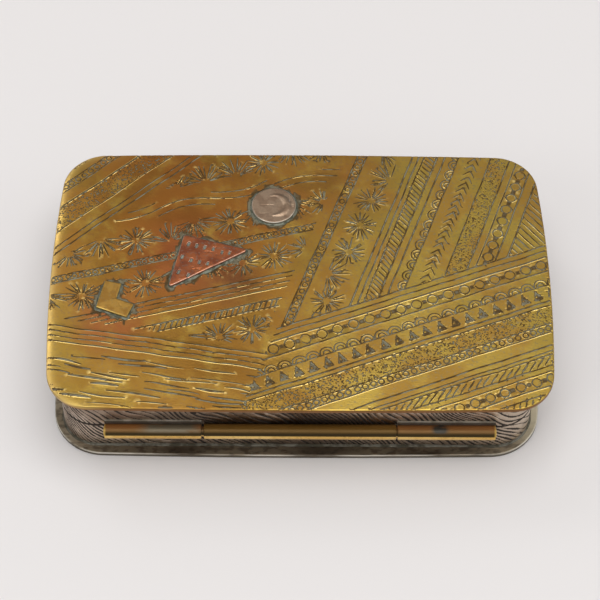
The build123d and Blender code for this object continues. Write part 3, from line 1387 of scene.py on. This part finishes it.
@dataclass
class Overlay:
    """One overlay cut from sheet and soldered on the lid."""

    node: str
    name: str
    softening: float = 0.24
    hammered: Triple = (0.01, 3.5, 5)
    scratches: int = 9
    scratch_reach: float = 3.0
    scratch_length: tuple[float, float] = (0.6, 2.2)
    scratch_width: float = 0.1
    scratch_depth: float = 0.02

    def sheet(self) -> WorkedSheet:
        """Makes the bare overlay, a little uneven from the hammer."""
        made = WorkedSheet(self.node, self.name, edge=0.18, softening=self.softening, groove_pitch=0.2,
                           open_pitch=0.16, edge_worn=0.8, edge_pitch=0.1, rings=4, open_gap=0.12)
        height, size, seed = self.hammered
        made.swell = lambda x, y: height * smooth_noise(x, y, size, seed)
        return made

    def work(self, sheet: WorkedSheet) -> None:
        """Works the upper face; the plain overlay gets a few scratches.

        Args:
            sheet: The overlay's sheet.
        """
        chance = np.random.default_rng(4)
        for _ in range(self.scratches):
            start = sheet.outline.centre + chance.uniform(-self.scratch_reach, self.scratch_reach, 2)
            way = chance.uniform(0, TURN)
            end = start + chance.uniform(*self.scratch_length) * np.array([math.cos(way), math.sin(way)])
            sheet.engraving.cut(dense(np.array([start, end]), Engraving.step), self.scratch_width,
                                self.scratch_depth)

    def build(self, material: Material) -> Piece:
        """Builds the overlay in its finish."""
        sheet = self.sheet()
        self.work(sheet)
        return sheet.build(material)


@dataclass
class CrescentDisc(Overlay):
    """The silver disc with a plain raised crescent."""

    crescent_radius: float = 2.3
    bite_radius: float = 2.0
    bite_step: float = 1.0
    raised: float = 0.14
    shift: tuple[float, float] = (0.5, 0.0)
    shoulder: float = 0.45

    def work(self, sheet: WorkedSheet) -> None:
        """Raises the crescent.

        Args:
            sheet: The disc's sheet.
        """
        super().work(sheet)
        centre = sheet.outline.centre + self.shift
        under = sheet.swell

        def swell(x: Points, y: Points) -> Points:
            """The height of the crescent over the disc at each place."""
            full = np.hypot(x - centre[0], y - centre[1])
            bite = np.hypot(x - centre[0] + self.bite_step, y - centre[1])
            inside = np.minimum(self.crescent_radius - full, bite - self.bite_radius)
            return under(x, y) + self.raised * np.sqrt(np.clip(inside / self.shoulder, 0, 1))

        sheet.swell = swell


@dataclass
class PunchedTriangle(Overlay):
    """The copper triangle with rows of punched dimples along its upper side.

    Each row has its count, the place of its first dimple and the step between them.
    """

    rows: tuple[tuple[int, float, float], ...] = ((6, 1.05, 1.42), (4, 1.2, 1.42), (2, 1.3, 1.7))
    row_step: float = 3.0
    margin: float = 1.4
    upward: tuple[float, float] = (-0.6, 1.0)
    dimple_half: float = 0.22
    dimple_width: float = 0.54
    dimple_taper: float = 0.03
    dimple_depth: float = 0.12
    speck_width: float = 0.2
    speck_depth: float = 0.05

    def work(self, sheet: WorkedSheet) -> None:
        """Punches the rows.

        Args:
            sheet: The triangle's sheet.
        """
        super().work(sheet)
        line = sheet.outline.points
        tip = line[line[:, 0].argmax()]
        upper = line[(line @ np.array(self.upward)).argmax()]
        along = (tip - upper) / np.hypot(*(tip - upper))
        down = np.array([along[1], -along[0]])
        chance = np.random.default_rng(6)
        for row, (count, first, step) in enumerate(self.rows):
            for k in range(count):
                shift = chance.normal(0, 0.09, 2)
                at = upper + down * (self.margin + row * self.row_step + shift[0])
                at = at + along * (first + k * step + shift[1])
                dimple = np.array([at - down * self.dimple_half, at + down * self.dimple_half])
                width = self.dimple_width - self.dimple_taper * k
                sheet.engraving.cut(dense(dimple, 0.04), width, self.dimple_depth)
                speck = at + down * chance.uniform(0.9, 1.6) + along * chance.normal(0.6, 0.2)
                sheet.engraving.cut(speck[None], self.speck_width, self.speck_depth)


# Walls


@dataclass
class EngravedWall:
    """A bent strip whose outer face is cut with flowing lines like wood grain.

    The lines are drawn a little coarser than the finest ones in the photo.
    Each bend of the flow has its height, its waves round the wall, its twist with height and its phase.
    A line's width swings along it, differently for each line, up to a share of line_width.
    """

    node: str
    name: str
    pitch: float = 0.13
    triangles: int = 90000
    lines_per_mm: float = 1.2
    slant: float = 0.8
    line_width: float = 0.37
    depth: float = 0.11
    pits: tuple[tuple[float, float, float], ...] = ()
    pit_depth: float = 0.35
    split: float = 6.55
    split_reach: float = 0.32
    split_depth: float = 0.18
    bends: tuple[tuple[float, int, float, float], ...] = ((2.0, 4, 0.0, 0.7), (0.85, 11, 0.25, 0.0),
                                                          (0.22, 23, -0.5, 1.1), (0.05, 61, 1.3, 0.0))
    knots: int = 7
    knot_height: float = 1.7
    knot_levels: tuple[float, float] = (3.0, 12.0)
    knot_sizes: tuple[float, float] = (1.6, 2.6)
    knot_stretch: float = 0.6
    least_slope: float = 0.5
    probe: float = 0.02
    swing_length: float = 5.0
    swing_mix: float = 0.618
    swing_phase: float = 2.4
    usual_width: float = 0.85
    width_swing: float = 0.5
    most_width: float = 1.25
    least_half: float = 0.02
    full_half: float = 0.1
    rounding: float = 0.8
    fullest: float = 0.28
    dark_depth: float = 0.045
    least_thickness: float = 0.3

    def flow(self, run: Points, height: Points, length: float) -> Points:
        """The field whose level lines are the cuts, the same for both walls.

        Args:
            run: The place round the wall, in millimetres.
            height: The height above the table.
            length: The length once round.

        Returns:
            The field's value at each place.
        """
        turn = TURN / length
        crossings = round(length * self.lines_per_mm * math.sin(self.slant))
        bent = sum(size * np.sin(waves * turn * run + twist * height + phase)
                   for size, waves, twist, phase in self.bends)
        value = crossings * run / length + self.lines_per_mm * (height * math.cos(self.slant) + bent)
        chance = np.random.default_rng(8)
        for _ in range(self.knots):
            spans = ((0, length), self.knot_levels, self.knot_sizes)
            at, up, size = (chance.uniform(*span) for span in spans)
            across = ((run - at + length / 2) % length - length / 2) * self.knot_stretch
            value += self.knot_height * np.exp(-(across ** 2 + (height - up) ** 2) / size ** 2)
        return value

    def cuts(self, run: Points, height: Points, length: float) -> Points:
        """How deep the face is cut at each place.

        Args:
            run: The place round the wall.
            height: The height above the table.
            length: The length once round.

        Returns:
            The depth, in millimetres.
        """
        here = self.flow(run, height, length)
        slope = np.hypot(self.flow(run + self.probe, height, length) - here,
                         self.flow(run, height + self.probe, length) - here) / self.probe
        number = np.round(here)
        slope = np.maximum(slope, self.least_slope)
        away = np.abs(here - number) / slope
        along = run * math.cos(self.slant) - height * math.sin(self.slant)
        wave = self.swing_length + (number * self.swing_mix) % 1 * self.swing_length
        swing = np.sin(along * TURN / wave + number * self.swing_phase)
        width = self.line_width * np.clip(self.usual_width + self.width_swing * swing, 0.0, self.most_width)
        half = np.minimum(width / 2, self.fullest / slope)
        share = np.clip(half / self.full_half, 0, 1)
        bed = np.clip(1 - (away / np.maximum(half, self.least_half)) ** 2, 0, 1) ** self.rounding
        return self.depth * share * bed

    def build(self, material: Material) -> Piece:
        """Builds the closed strip, cut on its outer face.

        Args:
            material: Its finish.

        Returns:
            The new piece.
        """
        low, high = (corner[2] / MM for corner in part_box(self.node))
        outline = Outline(self.node, self.pitch, 0.8)
        count = len(outline.points)
        rows = int((high - low) / self.pitch) + 1
        run = np.arange(count) * self.pitch
        heights = np.linspace(low, high, rows)
        place, up = np.meshgrid(run, heights, indexing="xy")
        depth = self.cuts(place, up, count * self.pitch)
        for x, z, radius in self.pits:
            near = np.hypot(outline.points[:, 0] - x, outline.points[:, 1] - outline.points[:, 1].min())
            away = np.hypot(place - run[near.argmin()], up - z) / radius
            depth = np.maximum(depth, self.pit_depth * np.clip(1 - away ** 2, 0, 1) ** 0.5)
        seam = np.clip(1 - np.abs(up - self.split) / self.split_reach, 0, 1) ** 1.5
        depth = np.maximum(depth, self.split_depth * seam)
        inward = outline.normals[None] * depth[..., None]
        outer = np.dstack([outline.points[None] - inward, up])
        inner = outline.inset(self.drawn_thickness(outline))
        walls = [np.column_stack([inner, np.full(count, z)]) for z in (high, low)]
        points = np.vstack([outer.reshape(-1, 3), *walls])
        number = np.arange(rows * count).reshape(rows, count)
        top, bottom = rows * count + np.arange(count), (rows + 1) * count + np.arange(count)
        quads = strips([*number, top, bottom, number[0]])
        marks = np.concatenate([np.clip(depth.ravel() / self.dark_depth, 0, 1), np.zeros(2 * count)])
        piece = mesh_object(self.name, points, quads, material, cut=marks, worn=np.zeros(len(points)))
        thinned(piece, self.triangles)
        return piece

    def drawn_thickness(self, outline: Outline) -> float:
        """How thick the strip is drawn: the step to the next points of its solid, inside the solid's own.

        Args:
            outline: The strip's outer line.

        Returns:
            The thickness, in millimetres.
        """
        ys = np.array([v.co.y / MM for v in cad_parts[self.node].data.vertices])
        edge = outline.points[:, 1].min()
        return float(ys[(ys > edge + self.least_thickness) & (ys < 0)].min() - edge)


# Solder


@dataclass
class SolderBead:
    """A thin uneven fillet of solder that runs round a joint.

    Its section has its places across and up as shares of the width and height, apart from what is sunk.
    """

    name: str
    outline: Outline
    level: float
    width: float
    height: float
    sunk: float = 0.12
    uneven: float = 0.35
    hanging: bool = False
    seed: int = 1
    node: str = ""
    wave: float = 2.2
    least: float = 0.35
    most: float = 1.8
    curve: tuple[tuple[float, float], ...] = ((1.0, 0.0), (0.55, 0.16), (0.24, 0.45), (0.05, 1.0))

    def build(self, material: Material) -> Piece:
        """Sweeps the fillet's section round the joint.

        Args:
            material: Its finish.

        Returns:
            The new piece.
        """
        line, out = self.outline.points, self.outline.normals
        size = 1 + self.uneven * smooth_noise(*line.T, self.wave, self.seed)
        size = np.clip(size, self.least, self.most)[:, None]
        section = ((-self.sunk, -self.sunk), (1.0, -self.sunk), *self.curve, (-self.sunk, 1.0))
        sign = -1 if self.hanging else 1
        rings = []
        for across, up in section:
            step = size * self.width * across if across > 0 else across
            rise = size[:, 0] * self.height * up if up > 0 else np.full(len(line), up)
            rings.append(np.column_stack([line + out * step, self.level + sign * rise]))
        count = len(line)
        numbers = [k * count + np.arange(count) for k in range(len(section))]
        quads = strips([*numbers, numbers[0]])[:, ::sign][:, ::-1]
        return mesh_object(self.name, np.vstack(rings), quads, material)


# Studio


@dataclass
class Studio:
    """The floor, the lamps and the camera."""

    elevation: float = 54.5
    turn: float = -0.62
    roll: float = 0.8
    distance: float = 310.0
    focal_px: float = 1903.0
    frame_px: float = 600.0
    sensor: float = 36.0
    clip_m: tuple[float, float] = (0.01, 20.0)
    aim: tuple[float, float, float] = (-0.035, 0.0, 8.5)
    floor_half_m: float = 1.5
    floor_hex: str = "#E0DCDA"
    floor_roughness: float = 0.6
    sky_hex: str = "#FAFAFC"
    horizon_level: float = 0.36
    zenith_level: float = 0.42
    lamps: tuple[tuple[str, Triple, float, float], ...] = (
        ("overhead", (0.1, -0.06, 1.25), 1.2, 11.0), ("front", (-0.55, -0.4, 0.5), 0.4, 0.9),
        ("left", (-0.5, 0.62, 0.8), 0.35, 1.0), ("right", (0.75, -0.1, 0.4), 0.4, 0.7))

    def camera(self) -> None:
        """Places the camera at the photograph's angle."""
        data = bpy.data.cameras.new("camera")
        data.sensor_fit, data.sensor_width = "HORIZONTAL", self.sensor
        data.lens = self.focal_px / self.frame_px * self.sensor
        data.clip_start, data.clip_end = self.clip_m
        e, yaw, roll = (math.radians(v) for v in (self.elevation, self.turn, self.roll))
        back = Vector((math.sin(yaw) * math.cos(e), -math.cos(yaw) * math.cos(e), math.sin(e)))
        right = Vector((math.cos(yaw), math.sin(yaw), 0))
        up = back.cross(right)
        side = right * math.cos(roll) + up * math.sin(roll)
        up = up * math.cos(roll) - right * math.sin(roll)
        place = (Vector(self.aim) + back * self.distance) * MM
        camera = bpy.data.objects.new("camera", data)
        camera.matrix_world = Matrix((
            (side.x, up.x, back.x, place.x),
            (side.y, up.y, back.y, place.y),
            (side.z, up.z, back.z, place.z),
            (0, 0, 0, 1),
        ))
        bpy.context.scene.collection.objects.link(camera)
        bpy.context.scene.camera = camera

    def floor(self) -> None:
        """Lays a plain pale floor under the box."""
        half = self.floor_half_m / MM
        corners = np.array([(-half, -half, 0), (half, -half, 0), (half, half, 0), (-half, half, 0)])
        paint = bpy.data.materials.new("pale_floor")
        paint.use_nodes = True
        shader = paint.node_tree.nodes["Principled BSDF"]
        shader.inputs["Base Color"].default_value = linear(self.floor_hex)
        shader.inputs["Roughness"].default_value = self.floor_roughness
        mesh_object("floor", corners, [[0, 1, 2, 3]], paint)

    def lamp(self, name: str, place: tuple[float, float, float], size: float, power: float) -> None:
        """Hangs a square soft lamp that points at the box.

        Args:
            name: The lamp's name.
            place: Its place, in metres.
            size: Its side, in metres.
            power: Its power, in watts.
        """
        data = bpy.data.lights.new(name, "AREA")
        data.size, data.energy = size, power
        lamp = bpy.data.objects.new(name, data)
        lamp.location = place
        lamp.rotation_mode = "QUATERNION"
        lamp.rotation_quaternion = Vector(place).to_track_quat("Z", "Y")
        bpy.context.scene.collection.objects.link(lamp)

    def light(self) -> None:
        """Sets an even pale sky and four soft lamps."""
        world = bpy.data.worlds.new("studio")
        world.use_nodes = True
        tree = world.node_tree
        way = add_node(tree, "ShaderNodeTexCoord").outputs["Generated"]
        parts = add_node(tree, "ShaderNodeSeparateXYZ", {}, {0: way})
        level = add_node(tree, "ShaderNodeMapRange", {"interpolation_type": "SMOOTHSTEP"},
                         {"Value": parts.outputs[2], "From Min": 0.1, "From Max": 0.5,
                          "To Min": self.horizon_level, "To Max": self.zenith_level})
        sky = tree.nodes["Background"]
        sky.inputs["Color"].default_value = linear(self.sky_hex)
        tree.links.new(level.outputs[0], sky.inputs["Strength"])
        bpy.context.scene.world = world
        for lamp in self.lamps:
            self.lamp(*lamp)
        bpy.context.scene.view_settings.view_transform = "Standard"


# The whole box


class StampBox:
    """Builds the pieces in order and dresses the nodes that keep their own shape."""

    def __init__(self) -> None:
        """Starts with no material made."""
        self.materials: dict[str, Material] = {}

    def material(self, metal: Metal) -> Material:
        """The material of a finish, made when it is first asked for."""
        if metal.name not in self.materials:
            self.materials[metal.name] = metal.material()
        return self.materials[metal.name]

    def place(self, part: Lid | Overlay | EngravedWall | SolderBead, metal: Metal, body: str,
              slot: str) -> None:
        """Builds a piece and puts it on its body and in its node's place, if it has one.

        Args:
            part: What builds the piece.
            metal: Its finish.
            body: The body that it rides on.
            slot: Not used.
        """
        piece = part.build(self.material(metal))
        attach(piece, body)
        if part.node:
            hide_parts(part.node)
        LOG.info("%s rides on %s with %d vertices", piece.name, body, len(piece.data.vertices))

    def sheets(self) -> None:
        """Builds the lid plate and the overlays."""
        self.place(Lid(), ENGRAVED_BRASS, "lid", "lid_brass")
        self.place(CrescentDisc("disc_overlay", "disc_crescent"), RUBBED_SILVER, "lid", "overlay_silver")
        self.place(PunchedTriangle("triangle_overlay", "triangle_punched"), RUBBED_COPPER, "lid",
                   "overlay_copper")
        self.place(Overlay("angle_overlay", "angle_filed"), FILED_BRASS, "lid", "overlay_brass")

    def walls(self) -> None:
        """Builds the two engraved walls."""
        band = EngravedWall("lid_band", "lid_band_engraved", pits=((-16.6, 10.2, 0.5),))
        self.place(band, PATINATED_NICKEL_SILVER, "lid", "wall_nickel_silver")
        wall = EngravedWall("body_wall", "body_wall_engraved", triangles=70000)
        self.place(wall, PATINATED_NICKEL_SILVER, "body", "wall_nickel_silver")

    def solder_beads(self) -> None:
        """Runs solder round the overlays, the wall's foot and the band's top."""
        slot = "seat_nickel_silver"
        lid_top, foot, head = (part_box(node)[end][2] / MM
                               for node, end in (("lid_plate", 1), ("body_wall", 0), ("lid_band", 1)))
        for seed, node in enumerate(Lid.overlays):
            name, outline = node.replace("overlay", "solder"), Outline(node, 0.1, 0.24)
            self.place(SolderBead(name, outline, lid_top, 0.36, 0.13, seed=seed), DULL_SOLDER, "lid", slot)
        line = Outline("body_wall", 0.2, 0.8)
        self.place(SolderBead("wall_foot_solder", line, foot, 0.32, 0.3, uneven=0.2, seed=9), SOLDER, "body",
                   slot)
        line = Outline("lid_band", 0.2, 0.8)
        self.place(SolderBead("band_top_solder", line, head, 0.3, 0.28, uneven=0.2, hanging=True, seed=10),
                   SOLDER, "lid", slot)

    def kept_nodes(self) -> None:
        """Dresses the nodes whose own shape is right."""
        finishes = {
            "base_plate": FILED_NICKEL_SILVER, "locating_lip": FILED_NICKEL_SILVER,
            "hinge_pin": HINGE_BRASS, "body_knuckle": CENTRE_HINGE_BRASS,
            "lid_knuckle_left": HINGE_BRASS, "lid_knuckle_right": HINGE_BRASS,
            "body_knuckle_seat": SEAT_PAINTED_LIGHT_AND_SHADE, "lid_knuckle_seat_left": SEAT_PAINTED_LIGHT_AND_SHADE,
            "lid_knuckle_seat_right": SEAT_PAINTED_LIGHT_AND_SHADE,
        }
        for node, metal in finishes.items():
            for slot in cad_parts[node].material_slots:
                slot.material = self.material(metal)
            LOG.info("%s dressed in %s", node, metal.name)


def main() -> None:
    """Builds the box and the studio."""
    logging.basicConfig(level=logging.INFO, format="%(name)s: %(message)s")
    studio = Studio()
    studio.camera()
    studio.floor()
    studio.light()
    box = StampBox()
    box.sheets()
    box.walls()
    box.solder_beads()
    box.kept_nodes()


if __name__ == "__main__":
    main()
